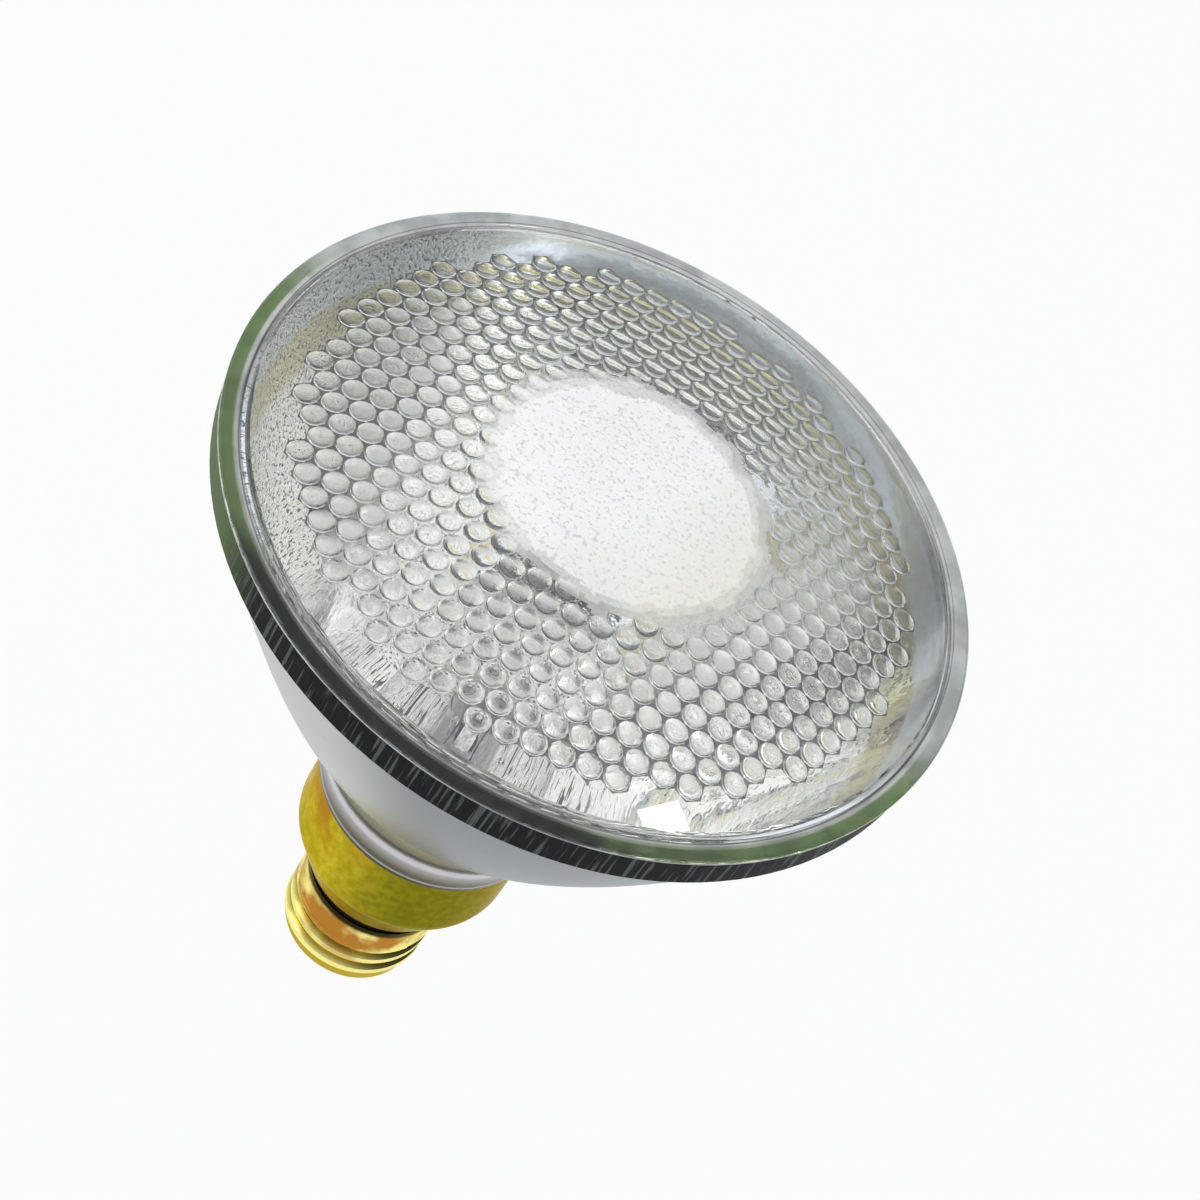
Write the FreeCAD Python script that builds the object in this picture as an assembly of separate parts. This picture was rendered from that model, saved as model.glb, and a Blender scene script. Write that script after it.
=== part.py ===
"""Sealed-beam PAR reflector lamp on a skirted Edison screw base.

Millimetres. The origin is the tip of the centre contact, on the lamp's axis, and +Z points out of the lens.
The lamp comes apart as a pressed lens, a pressed reflector with a neck, the halogen capsule on its two leads,
and a skirted screw base that is cemented to the glass heel.
"""
import FreeCAD, Part
import math
import os

# Overall form of the glass
rim_radius = 60.5
ring_inset = 2.6
dome_rise = 6.1
lens_wall = 3.2
lens_edge_drop = 1.1
rim_bevel = 0.9
rim_bevel_start = 0.33
rim_bevel_end = 0.77
ring_land = 1.7
ring_flat = 0.68
ring_groove_inset = 1.28
ring_groove = 0.25
seal_thickness = 0.6
seal_inset = 0.5
register_clearance = 0.6
register_land = 1.4

# Pattern pressed into the inner face of the lens
cell_pitch = 4.2
cell_turn = 13.7
cell_rise = 0.55
cell_crown = 0.5
cell_root = 1.2
pattern_inner = 26.0
pattern_margin = 8.5

# Reflector
focal_length = 12.14
focal_growth = 0.78
vertex_rise = 7.97
vertex_wall = 3.41
mouth_lip = 1.658
bowl_lip = 1.4
band_height = 5.3
band_width = 3.1
neck_overhang = 0.9
neck_flare = 3.4
neck_wall = 3.9
floor_thickness = 4.0
heel_clearance = 0.7
heel_wall = 4.0
heel_length = 8.0
tubulation_radius = 2.5
tubulation_length = 4.5

# Skirt, its insulating ring and the cement
skirt_radius = 19.5
skirt_top = 50.5
skirt_sheet = 0.4
skirt_straight = 14.6
skirt_shoulder_round = 5.0
skirt_taper = 4.9
skirt_foot = 26.4
heel_seat_gap = 0.2
cement_length = 6.8
ring_gap = 3.5
ring_wall = 2.55
ring_waist_clearance = 0.25
ring_flange_clearance = 0.7
ring_flange_height = 2.4
spigot_length = 3.8

# Screw shell
shell_radius = 13.1
shell_sheet = 0.35
shell_plain = 6.1
thread_pitch = 3.629
thread_depth = 0.85
thread_foot = 6.2
thread_crest_share = 0.34
thread_foot_share = 0.96
thread_bite = 0.4
crest_relief = 0.06
shell_end_taper = 2.05
shell_end = 4.2
shell_end_height = 1.3

# Contact end
contact_radius = 4.8
contact_height = 0.9
contact_sheet = 0.4
contact_rim = 1.0
contact_tube = 2.0
solder_radius = 2.6
insulator_depth = 1.0
insulator_dish = 0.5
insulator_nose = 0.7
lead_hole = 0.9

# Halogen capsule
capsule_radius = 5.5
capsule_wall = 0.9
capsule_below = 6.0
capsule_above = 7.2
tip_radius = 1.1
tip_end_radius = 0.3
tip_length = 2.4
pinch_width = 10.4
pinch_thickness = 3.4
pinch_length = 10.2
foil_width = 1.7
foil_thickness = 0.06
foil_length = 5.5
foil_cover = 2.2
coil_radius = 0.95
coil_length = 5.2
coil_turns = 8
coil_wire = 0.15
knuckle_radius = 0.2
pin_radius = 0.5
pin_below = 1.5
pin_clearance = 1.4

# Leads
ferrule_spacing = 16.0
ferrule_radius = 2.4
ferrule_wall = 0.35
ferrule_stand = 0.4
ferrule_drop = 0.9
ferrule_base = 0.6
support_radius = 0.7
support_bend = 1.6
support_clearance = 0.5
support_overlap = 1.0
support_tail = 2.1
wire_radius = 0.4
wire_bend = 1.8
lead_drop = 5.0
joint_drop = 5.0
joint_gap = 0.6
joint_radius = 1.0

cut_over = 1.0

ORIGIN = FreeCAD.Vector(0, 0, 0)
UP = FreeCAD.Vector(0, 0, 1)

# Heights and radii that follow from the driving sizes
skirt_inner = skirt_radius - skirt_sheet
skirt_foot_radius = skirt_radius - skirt_taper
shell_top = skirt_foot - ring_gap
shell_inner = shell_radius - shell_sheet
thread_top = shell_top - shell_plain
thread_root = shell_radius - thread_depth
shell_end_radius = thread_root - shell_end_taper
insulator_top = shell_end + insulator_depth
joint_height = shell_top - joint_drop
ring_bore = shell_inner - ring_wall
ring_waist_radius = shell_inner - ring_waist_clearance
ring_flange_radius = skirt_foot_radius - ring_flange_clearance
neck_foot = skirt_top + heel_seat_gap
neck_radius = skirt_radius + neck_overhang
neck_top_radius = neck_radius + neck_flare
well_radius = neck_radius - neck_wall
heel_radius = skirt_inner - heel_clearance
heel_bore = heel_radius - heel_wall
heel_foot = neck_foot - heel_length
bowl_vertex = neck_foot + vertex_rise
focus = bowl_vertex + focal_length
outer_focal = focal_length + focal_growth
outer_vertex = bowl_vertex - vertex_wall
foil_top = focus - capsule_below + capsule_wall - foil_cover
foil_foot = foil_top - foil_length
pinch_foot = focus - capsule_below - pinch_length
support_level = pinch_foot - support_clearance - support_radius
pin_foot = support_level - pin_below
pin_offset = coil_length / 2
lead_side = pin_radius + support_radius
well_floor = pin_foot - pin_clearance
floor_underside = well_floor - floor_thickness
ferrule_offset = ferrule_spacing / 2
ferrule_foot = floor_underside - ferrule_drop
support_foot = ferrule_foot - support_tail
band_radius = rim_radius - seal_inset
mouth_radius = band_radius - band_width
band_top = bowl_vertex + mouth_radius ** 2 / (4 * focal_length) + mouth_lip
band_foot = band_top - band_height
lens_seat = band_top + seal_thickness
ring_radius = rim_radius - ring_inset
ring_height = lens_seat + lens_edge_drop
register_radius = mouth_radius - register_clearance
pattern_outer = ring_radius - pattern_margin
lens_apex = ring_height + dome_rise
dome_radius = (ring_radius ** 2 + dome_rise ** 2) / (2 * dome_rise)
inner_dome_radius = dome_radius - lens_wall
dome_centre = lens_apex - dome_radius


def point(radius, height):
    return FreeCAD.Vector(radius, 0, height)


def line(start, end):
    return Part.makeLine(point(*start), point(*end))


def arc(start, middle, end):
    return Part.Arc(point(*start), point(*middle), point(*end)).toShape()


def lines(*corners):
    return [line(a, b) for a, b in zip(corners, corners[1:])]


def bowl_height(focal, vertex, radius):
    return vertex + radius * radius / (4 * focal)


def parabola(focal, vertex, first, last):
    """Part of a parabola about the axis, between two radii. A parabola is exactly a quadratic curve."""
    start = point(first, bowl_height(focal, vertex, first))
    control = point((first + last) / 2, vertex + first * last / (4 * focal))
    end = point(last, bowl_height(focal, vertex, last))
    curve = Part.BezierCurve()
    curve.setPoles([start, control, end])
    return curve.toShape()


def turned(*edges):
    """A solid of revolution about the lamp's axis from a closed outline."""
    face = Part.Face(Part.Wire(Part.__sortEdges__(list(edges))))
    solid = face.revolve(ORIGIN, UP, 360)
    return solid if solid.Volume > 0 else solid.reversed()


def turned_lines(*corners):
    return turned(*lines(*corners, corners[0]))


def dome_height(sphere_radius, radius):
    return dome_centre + math.sqrt(sphere_radius ** 2 - radius ** 2)


def upright(x, y, radius, foot, top):
    return Part.makeCylinder(radius, top - foot, FreeCAD.Vector(x, y, foot))


def bent_wire(corners, radius, bend):
    """A round wire along straight runs joined by arcs of one bend radius."""
    corners = [FreeCAD.Vector(*c) for c in corners]
    edges = []
    start = corners[0]
    for before, corner, after in zip(corners, corners[1:], corners[2:]):
        back = (before - corner).normalize()
        ahead = (after - corner).normalize()
        half = back.getAngle(ahead) / 2
        reach = bend / math.tan(half)
        inward = (back + ahead).normalize()
        middle = corner + inward * (bend / math.sin(half) - bend)
        edges.append(Part.makeLine(start, corner + back * reach))
        edges.append(Part.Arc(corner + back * reach, middle, corner + ahead * reach).toShape())
        start = corner + ahead * reach
    edges.append(Part.makeLine(start, corners[-1]))
    section = Part.Wire(Part.makeCircle(radius, corners[0], corners[1] - corners[0]))
    return Part.Wire(edges).makePipeShell([section], True, False)


def lens_blank():
    """The pressed lens without its pattern: a shallow dome with a rim that sits on the seal."""
    land_radius = ring_radius - ring_land
    groove_radius = ring_radius - ring_groove_inset
    land_height = dome_height(dome_radius, land_radius)
    apex = (0, lens_apex)
    dome_mid = (land_radius / 2, dome_height(dome_radius, land_radius / 2))
    shoulder = (rim_radius - rim_bevel, ring_height - rim_bevel_start)
    edge_top = (rim_radius, ring_height - rim_bevel_end)
    register_inner = register_radius - register_land
    face_height = dome_height(inner_dome_radius, register_inner)
    face_mid = (register_inner / 2, dome_height(inner_dome_radius, register_inner / 2))
    outer = [arc(apex, dome_mid, (land_radius, land_height))]
    outer += lines((land_radius, land_height), (groove_radius, ring_height - ring_groove),
                   (ring_radius - ring_flat, ring_height), (ring_radius, ring_height), shoulder, edge_top)
    under = lines(edge_top, (rim_radius, lens_seat), (register_radius, lens_seat), (register_radius, face_height),
                  (register_inner, face_height))
    inner = [arc((register_inner, face_height), face_mid, (0, lens_apex - lens_wall))]
    axis = lines((0, lens_apex - lens_wall), apex)
    return turned(*outer, *under, *inner, *axis)


def cell_centres():
    """Centres of the whole cells of a hexagonal lattice that lie in the patterned zone."""
    turn = math.radians(cell_turn)
    first = (cell_pitch * math.cos(turn), cell_pitch * math.sin(turn))
    second = (cell_pitch * math.cos(turn + math.pi / 3), cell_pitch * math.sin(turn + math.pi / 3))
    reach = int(2 * pattern_outer / cell_pitch)
    centres = {}
    for i in range(-reach, reach + 1):
        for j in range(-reach, reach + 1):
            x = i * first[0] + j * second[0]
            y = i * first[1] + j * second[1]
            if pattern_inner <= math.hypot(x, y) <= pattern_outer:
                centres[i, j] = (x, y)
    return centres


def triangle(a, b, c):
    return Part.Face(Part.makePolygon([a, b, c, a]))


def lenticule_plate():
    """All the lenticules as one solid: hexagonal bumps that share their edges and are rooted in the glass."""
    centres = cell_centres()
    corner_reach = cell_pitch / math.sqrt(3)
    beyond = [(1, 0), (0, 1), (-1, 1), (-1, 0), (0, -1), (1, -1)]
    faces = []
    for (i, j), (x, y) in centres.items():
        radius = math.hypot(x, y)
        level = dome_height(inner_dome_radius, radius)
        slope = 1 / (level - dome_centre)
        foot, root, crown = [], [], []
        for k in range(6):
            angle = math.radians(cell_turn + 60 * k - 30)
            dx = corner_reach * math.cos(angle)
            dy = corner_reach * math.sin(angle)
            px = round(x + dx, 9)
            py = round(y + dy, 9)
            height = round(dome_height(inner_dome_radius, math.hypot(px, py)), 9)
            foot.append(FreeCAD.Vector(px, py, height))
            root.append(FreeCAD.Vector(px, py, height + cell_root))
            fall = (x * dx + y * dy) * slope * cell_crown
            crown.append(FreeCAD.Vector(x + dx * cell_crown, y + dy * cell_crown, level - cell_rise - fall))
        middle = FreeCAD.Vector(x, y, level + cell_root)
        faces.append(Part.Face(Part.makePolygon(crown + crown[:1])))
        for k in range(6):
            n = (k + 1) % 6
            faces.append(triangle(foot[k], crown[n], foot[n]))
            faces.append(triangle(foot[k], crown[k], crown[n]))
            faces.append(triangle(root[k], root[n], middle))
            step = beyond[k]
            if (i + step[0], j + step[1]) not in centres:
                faces.append(Part.Face(Part.makePolygon([foot[k], foot[n], root[n], root[k], foot[k]])))
    shell = Part.Shell(faces)
    shell.sewShape()
    solid = Part.Solid(shell)
    return solid if solid.Volume > 0 else solid.reversed()


def make_lens():
    return lens_blank().fuse(lenticule_plate())


def make_rim_seal():
    """The bead of sealant between the two glass rims, proud of the band by its own bulge."""
    inner = mouth_radius + seal_inset
    foot = band_top
    top = lens_seat
    bulge = (rim_radius, (foot + top) / 2)
    return turned_lines((inner, foot), (band_radius, foot), bulge, (band_radius, top), (inner, top))


def make_reflector():
    """Pressed glass bowl, rim band, neck and heel in one piece, with the sealed exhaust tube in its floor."""
    bowl_top = band_radius - bowl_lip
    band_corner = (band_radius, band_foot)
    bowl_edge = (bowl_top, bowl_height(outer_focal, outer_vertex, bowl_top))
    neck_start = (neck_top_radius, bowl_height(outer_focal, outer_vertex, neck_top_radius))
    outer = lines((mouth_radius, band_top), (band_radius, band_top), band_corner, bowl_edge)
    outer.append(parabola(outer_focal, outer_vertex, bowl_top, neck_top_radius))
    outer += lines(neck_start, (neck_radius, neck_foot), (heel_radius, neck_foot), (heel_radius, heel_foot),
                   (heel_bore, heel_foot), (heel_bore, floor_underside), (0, floor_underside), (0, well_floor),
                   (well_radius, well_floor), (well_radius, bowl_height(focal_length, bowl_vertex, well_radius)))
    mirror = parabola(focal_length, bowl_vertex, well_radius, mouth_radius)
    mouth = lines((mouth_radius, bowl_height(focal_length, bowl_vertex, mouth_radius)), (mouth_radius, band_top))
    glass = turned(*outer, mirror, *mouth)
    stub = upright(0, 0, tubulation_radius, floor_underside - tubulation_length, floor_underside)
    end = Part.makeSphere(tubulation_radius, FreeCAD.Vector(0, 0, floor_underside - tubulation_length))
    glass = glass.fuse([stub, end])
    bores = [upright(side * ferrule_offset, lead_side, ferrule_radius, heel_foot, well_floor + cut_over)
             for side in (-1, 1)]
    return glass.cut(bores)


def make_base_cement():
    """Ring of cement that holds the glass heel in the skirt."""
    return turned_lines((heel_radius, neck_foot - heel_seat_gap), (skirt_inner, neck_foot - heel_seat_gap),
                        (skirt_inner, skirt_top - cement_length), (heel_radius, skirt_top - cement_length))


def skirt_wall(inset):
    """Points of the skirt's wall from the top edge round the shoulder to the foot, moved in by an amount of sheet."""
    shoulder_height = skirt_top - skirt_straight
    run = skirt_radius - skirt_foot_radius
    drop = shoulder_height - skirt_foot
    slant = math.atan2(run, drop)
    reach = skirt_shoulder_round * math.tan(slant / 2)
    turn_radius = skirt_shoulder_round - inset
    turn_centre = (skirt_radius - skirt_shoulder_round, shoulder_height + reach)
    top = (skirt_radius - inset, skirt_top)
    start = (skirt_radius - inset, turn_centre[1])
    middle = (turn_centre[0] + turn_radius * math.cos(slant / 2), turn_centre[1] - turn_radius * math.sin(slant / 2))
    end = (turn_centre[0] + turn_radius * math.cos(slant), turn_centre[1] - turn_radius * math.sin(slant))
    lean = inset / math.cos(slant) - inset * math.tan(slant)
    foot = (skirt_foot_radius - lean, skirt_foot + inset)
    return top, start, middle, end, foot


def make_skirt():
    """Drawn brass skirt: a straight collar, a round shoulder, a taper and a turned-in floor."""
    top, start, middle, end, foot = skirt_wall(0)
    top_in, start_in, middle_in, end_in, foot_in = skirt_wall(skirt_sheet)
    edges = [line(top, start), arc(start, middle, end), line(end, foot)]
    edges += lines(foot, (ring_waist_radius, skirt_foot), (ring_waist_radius, skirt_foot + skirt_sheet), foot_in)
    edges += [line(foot_in, end_in), arc(end_in, middle_in, start_in), line(start_in, top_in), line(top_in, top)]
    return turned(*edges)


def make_skirt_insulator():
    """Dark moulded ring between skirt and shell: a flange on the skirt's floor, a waist and a spigot in the shell."""
    seat = skirt_foot + skirt_sheet
    return turned_lines((ring_bore, seat + ring_flange_height), (ring_flange_radius, seat + ring_flange_height),
                        (ring_flange_radius, seat), (ring_waist_radius, seat), (ring_waist_radius, shell_top),
                        (shell_inner, shell_top), (shell_inner, shell_top - spigot_length),
                        (ring_bore, shell_top - spigot_length))


def threaded_core(inset):
    """A rolled thread as a solid screw, moved inwards by the sheet where it makes the inside of the shell."""
    root = thread_root - inset
    crest = shell_radius - crest_relief - inset
    half_foot = thread_pitch * thread_foot_share / 2
    half_crest = thread_pitch * thread_crest_share / 2
    helix = Part.makeHelix(thread_pitch, thread_top - thread_foot, root)
    helix.translate(FreeCAD.Vector(0, 0, thread_foot))
    low = (root - thread_bite, thread_foot - half_foot)
    high = (root - thread_bite, thread_foot + half_foot)
    crest_low = (crest, thread_foot - half_crest)
    crest_high = (crest, thread_foot + half_crest)
    section = Part.Wire(lines(low, crest_low, crest_high, high, low))
    ridge = Part.Wire(helix.Edges).makePipeShell([section], True, True)
    core = upright(0, 0, root, thread_foot - thread_pitch, thread_top + thread_pitch)
    return core.fuse(ridge)


def shell_form(inset, overrun):
    """The outside of the screw shell as a solid, or its inside when moved inwards by the sheet."""
    root = thread_root - inset
    rolled = shell_radius - inset
    slope = (thread_root - shell_end_radius) / shell_end_height
    top_height = thread_top + thread_pitch
    cone_top = (shell_end_radius - inset + slope * (top_height - shell_end), top_height)
    end_cone = turned_lines((0, shell_end), (shell_end_radius - inset, shell_end), cone_top, (0, top_height))
    collar_foot = (root - thread_bite, thread_top - thread_depth - thread_bite)
    collar = turned_lines((0, collar_foot[1]), collar_foot, (rolled, thread_top), (rolled, shell_top + overrun),
                          (0, shell_top + overrun))
    form = threaded_core(inset).common(end_cone).fuse(collar)
    if overrun:
        form = form.fuse(upright(0, 0, shell_end_radius - inset, shell_end - overrun, shell_end))
    return form


def make_screw_shell():
    """Rolled brass screw shell: thin sheet that follows the thread inside and out, open at both ends."""
    return shell_form(0, 0).cut(shell_form(shell_sheet, cut_over))


def insulator_outline():
    """The contact end's glass from the shell's inside down to the contact."""
    slope = (thread_root - shell_end_radius) / shell_end_height
    inside = shell_end_radius - shell_sheet
    fill_radius = inside + slope * (insulator_top - shell_end)
    nose = contact_radius + insulator_nose
    return [(lead_hole, insulator_top - insulator_dish), (fill_radius - insulator_dish, insulator_top - insulator_dish),
            (fill_radius, insulator_top), (inside, shell_end), (nose, contact_height + contact_rim),
            (nose, contact_height + contact_sheet), (lead_hole, contact_height + contact_sheet)]


def make_contact_eyelet():
    """Brass contact: a shallow cup with a short tube up through the glass."""
    face = contact_height + contact_sheet
    return turned_lines((lead_hole, contact_height), (contact_radius, contact_height),
                        (contact_radius, contact_height + contact_rim),
                        (contact_radius - contact_sheet, contact_height + contact_rim),
                        (contact_radius - contact_sheet, face), (lead_hole + contact_sheet, face),
                        (lead_hole + contact_sheet, contact_height + contact_tube),
                        (lead_hole, contact_height + contact_tube))


def make_base_insulator():
    """Dark glass that fills the shell's end and carries the contact."""
    return turned_lines(*insulator_outline()).cut(make_contact_eyelet())


def make_contact_solder():
    """Solder dome on the contact, with a plug round the end of the lead."""
    plug_top = contact_height + contact_rim
    dome = (solder_radius ** 2 + contact_height ** 2) / (2 * contact_height)
    half = math.asin(solder_radius / dome) / 2
    middle = (dome * math.sin(half), dome - dome * math.cos(half))
    edges = [arc((0, 0), middle, (solder_radius, contact_height))]
    edges += lines((solder_radius, contact_height), (lead_hole, contact_height), (lead_hole, plug_top),
                   (wire_radius, plug_top), (wire_radius, contact_height), (0, contact_height), (0, 0))
    return turned(*edges)


def make_support_lead(side):
    """Stiff lead brazed in its ferrule, bent inwards across the capsule's pin."""
    x = side * ferrule_offset
    return bent_wire([(x, lead_side, support_foot), (x, lead_side, support_level),
                      (side * (pin_offset - support_overlap), lead_side, support_level)], support_radius, support_bend)


def make_ferrule(side):
    """Metal cup sealed in the reflector's floor, closed at the bottom round the lead."""
    cup = upright(0, 0, ferrule_radius, ferrule_foot, well_floor + ferrule_stand)
    hollow = upright(0, 0, ferrule_radius - ferrule_wall, ferrule_foot + ferrule_base, well_floor + ferrule_stand)
    bore = upright(0, 0, support_radius, ferrule_foot, well_floor)
    cup = cup.cut(hollow.fuse(bore))
    cup.translate(FreeCAD.Vector(side * ferrule_offset, lead_side, 0))
    return cup


def make_capsule_pin(side):
    return upright(side * pin_offset, 0, pin_radius, pin_foot, foil_foot)


def make_foil(side):
    """Molybdenum foil sealed in the pinch."""
    corner = FreeCAD.Vector(side * pin_offset - foil_width / 2, -foil_thickness / 2, foil_foot)
    return Part.makeBox(foil_width, foil_thickness, foil_length, corner)


def make_filament():
    """Tungsten coil across the focus, with a straight leg down to each foil."""
    helix = Part.makeHelix(coil_length / coil_turns, coil_length, coil_radius)
    along = FreeCAD.Vector(0, 2 * math.pi * coil_radius, coil_length / coil_turns)
    section = Part.Wire(Part.makeCircle(coil_wire, FreeCAD.Vector(coil_radius, 0, 0), along))
    coil = Part.Wire(helix.Edges).makePipeShell([section], True, True)
    coil.rotate(ORIGIN, FreeCAD.Vector(0, 1, 0), 90)
    coil.translate(FreeCAD.Vector(-pin_offset, 0, focus))
    legs = [upright(side * pin_offset, 0, coil_wire, foil_top, focus - coil_radius) for side in (-1, 1)]
    knuckles = [Part.makeSphere(knuckle_radius, FreeCAD.Vector(side * pin_offset, 0, focus - coil_radius))
                for side in (-1, 1)]
    return coil.fuse(legs + knuckles)


def make_capsule_envelope():
    """Quartz capsule: a domed tube with its exhaust tip, pressed flat into the pinch round foils, pins and legs."""
    foot = focus - capsule_below
    shoulder = focus + capsule_above - capsule_radius
    inner = capsule_radius - capsule_wall
    half = math.sqrt(0.5)
    crown = arc((capsule_radius, shoulder), (capsule_radius * half, shoulder + capsule_radius * half),
                (0, shoulder + capsule_radius))
    tube = turned(*lines((0, shoulder + capsule_radius), (0, foot), (capsule_radius, foot),
                         (capsule_radius, shoulder)), crown)
    tip_foot = shoulder + capsule_radius - capsule_wall / 2
    tip = Part.makeCone(tip_radius, tip_end_radius, tip_length, FreeCAD.Vector(0, 0, tip_foot))
    pinch = Part.makeBox(pinch_width, pinch_thickness, pinch_length + capsule_wall,
                         FreeCAD.Vector(-pinch_width / 2, -pinch_thickness / 2, pinch_foot))
    hollow_crown = arc((inner, shoulder), (inner * half, shoulder + inner * half), (0, shoulder + inner))
    hollow = turned(*lines((0, shoulder + inner), (0, foot + capsule_wall), (inner, foot + capsule_wall),
                           (inner, shoulder)), hollow_crown)
    quartz = tube.fuse([tip, pinch]).cut(hollow)
    sealed = [make_foil(-1), make_foil(1), make_capsule_pin(-1), make_capsule_pin(1)]
    sealed += [upright(side * pin_offset, 0, coil_wire, foil_top, focus) for side in (-1, 1)]
    return quartz.cut(sealed)


def make_contact_lead():
    """Copper wire from one ferrule down the axis to the centre contact."""
    x = -ferrule_offset
    return bent_wire([(x, lead_side, support_foot), (x, lead_side, support_foot - lead_drop), (0, 0, skirt_foot),
                      (0, 0, contact_height)], wire_radius, wire_bend)


def make_shell_lead():
    """Copper wire from the other ferrule to the inside of the screw shell."""
    x = ferrule_offset
    return bent_wire([(x, lead_side, support_foot), (x, lead_side, joint_height),
                      (shell_inner - joint_gap, lead_side, joint_height)], wire_radius, wire_bend)


def make_shell_solder():
    """Solder joint of the wire on the shell's inner wall."""
    blob = Part.makeSphere(joint_radius, FreeCAD.Vector(shell_inner - joint_gap, lead_side, joint_height))
    inside = upright(0, 0, shell_inner, joint_height - joint_radius, joint_height + joint_radius)
    return blob.common(inside).cut(make_shell_lead())


def build():
    pieces = {
        "lens": make_lens(),
        "rim_seal": make_rim_seal(),
        "reflector": make_reflector(),
        "capsule_envelope": make_capsule_envelope(),
        "filament": make_filament(),
        "base_cement": make_base_cement(),
        "skirt": make_skirt(),
        "skirt_insulator": make_skirt_insulator(),
        "screw_shell": make_screw_shell(),
        "base_insulator": make_base_insulator(),
        "contact_eyelet": make_contact_eyelet(),
        "contact_solder": make_contact_solder(),
        "contact_lead": make_contact_lead(),
        "shell_lead": make_shell_lead(),
        "shell_solder": make_shell_solder(),
    }
    for name, side in (("left", -1), ("right", 1)):
        pieces["foil_" + name] = make_foil(side)
        pieces["capsule_pin_" + name] = make_capsule_pin(side)
        pieces["support_lead_" + name] = make_support_lead(side)
        pieces["ferrule_" + name] = make_ferrule(side)
    return pieces


os.makedirs("parts", exist_ok=True)
for name, shape in build().items():
    shape.exportStep("parts/" + name + ".step")
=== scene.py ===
import math

import bmesh
import bpy
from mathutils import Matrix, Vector, noise


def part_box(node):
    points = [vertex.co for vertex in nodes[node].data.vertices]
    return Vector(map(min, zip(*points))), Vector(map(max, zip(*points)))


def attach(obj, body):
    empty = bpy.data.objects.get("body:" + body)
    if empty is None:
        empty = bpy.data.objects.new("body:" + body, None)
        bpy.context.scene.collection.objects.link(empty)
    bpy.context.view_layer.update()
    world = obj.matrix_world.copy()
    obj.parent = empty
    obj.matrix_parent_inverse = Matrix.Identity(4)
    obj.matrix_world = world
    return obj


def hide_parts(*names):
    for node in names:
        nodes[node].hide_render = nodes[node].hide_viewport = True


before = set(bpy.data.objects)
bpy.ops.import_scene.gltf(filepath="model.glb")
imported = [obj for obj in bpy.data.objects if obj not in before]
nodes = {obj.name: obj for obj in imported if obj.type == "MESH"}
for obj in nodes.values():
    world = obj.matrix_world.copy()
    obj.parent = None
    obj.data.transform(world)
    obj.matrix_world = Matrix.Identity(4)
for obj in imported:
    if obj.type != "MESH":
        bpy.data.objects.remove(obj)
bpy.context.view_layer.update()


# Reflector: a pressed glass bowl, aluminised on its inside after pressing. From outside the film shows through the
# glass as satin silver, with a ragged edge short of the rim, where the bare glass looks dark. Painted on the outside
# are shade on the south-east side, highlight, reflection and shade bands on the neck, and the green of light through
# the bare glass on the west side. Inside it is a mirror, crinkled low in the bowl and on its west side, with dark
# specks painted there for dark reflections.
def new_finish(name, color, roughness, metallic=0.0, **inputs):
    """A material whose shader carries these constants. Returns it with its tree and its shader."""
    material = bpy.data.materials.new(name)
    material.use_nodes = True
    tree = material.node_tree
    shader = tree.nodes["Principled BSDF"]
    shader.inputs["Base Color"].default_value = (*color, 1)
    shader.inputs["Roughness"].default_value = roughness
    shader.inputs["Metallic"].default_value = metallic
    for label, value in inputs.items():
        shader.inputs[label.replace("_", " ")].default_value = value
    return material, tree, shader


def add_node(tree, kind, **settings):
    node = tree.nodes.new(kind)
    for label, value in settings.items():
        setattr(node, label, value)
    return node


def math_node(tree, operation, first, second=None, third=None):
    node = add_node(tree, "ShaderNodeMath", operation=operation)
    for index, value in enumerate((first, second, third)):
        if value is None:
            continue
        if isinstance(value, bpy.types.NodeSocket):
            tree.links.new(value, node.inputs[index])
        else:
            node.inputs[index].default_value = value
    return node.outputs[0]


def product(tree, first, *others):
    """Multiplies masks and numbers."""
    for other in others:
        first = math_node(tree, "MULTIPLY", first, other)
    return first


def opposite(tree, mask):
    return math_node(tree, "SUBTRACT", 1.0, mask)


def blend_colors(tree, mask, low, high):
    """Mixes two colours, each a socket or a tuple, by a mask."""
    node = add_node(tree, "ShaderNodeMix", data_type="RGBA")
    tree.links.new(mask, node.inputs["Factor"])
    color_inputs = [socket for socket in node.inputs if socket.type == "RGBA"]
    for socket, value in zip(color_inputs, (low, high)):
        if isinstance(value, bpy.types.NodeSocket):
            tree.links.new(value, socket)
        else:
            socket.default_value = (*value, 1)
    return [socket for socket in node.outputs if socket.type == "RGBA"][0]


def paint(tree, shader, mask, low, high):
    """Blends two colours by a mask into the shader's base colour."""
    tree.links.new(blend_colors(tree, mask, low, high), shader.inputs["Base Color"])


def ramp_between(tree, value, start, end):
    """0 at start, 1 at end, clamped."""
    node = add_node(tree, "ShaderNodeMapRange", interpolation_type="SMOOTHSTEP")
    tree.links.new(value, node.inputs["Value"])
    node.inputs["From Min"].default_value = start
    node.inputs["From Max"].default_value = end
    return node.outputs["Result"]


def bands(tree, value, start, end, stops):
    """Colours laid between two values, each stop a value and the colour reached there."""
    share = add_node(tree, "ShaderNodeMapRange")
    tree.links.new(value, share.inputs["Value"])
    share.inputs["From Min"].default_value = start
    share.inputs["From Max"].default_value = end
    node = tree.nodes.new("ShaderNodeValToRGB")
    ramp = node.color_ramp
    while len(ramp.elements) < len(stops):
        ramp.elements.new(0.5)
    for element, (place, color) in zip(ramp.elements, stops):
        element.position = (place - start) / (end - start)
        element.color = (*color, 1)
    tree.links.new(share.outputs["Result"], node.inputs["Fac"])
    return node.outputs["Color"]


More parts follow.
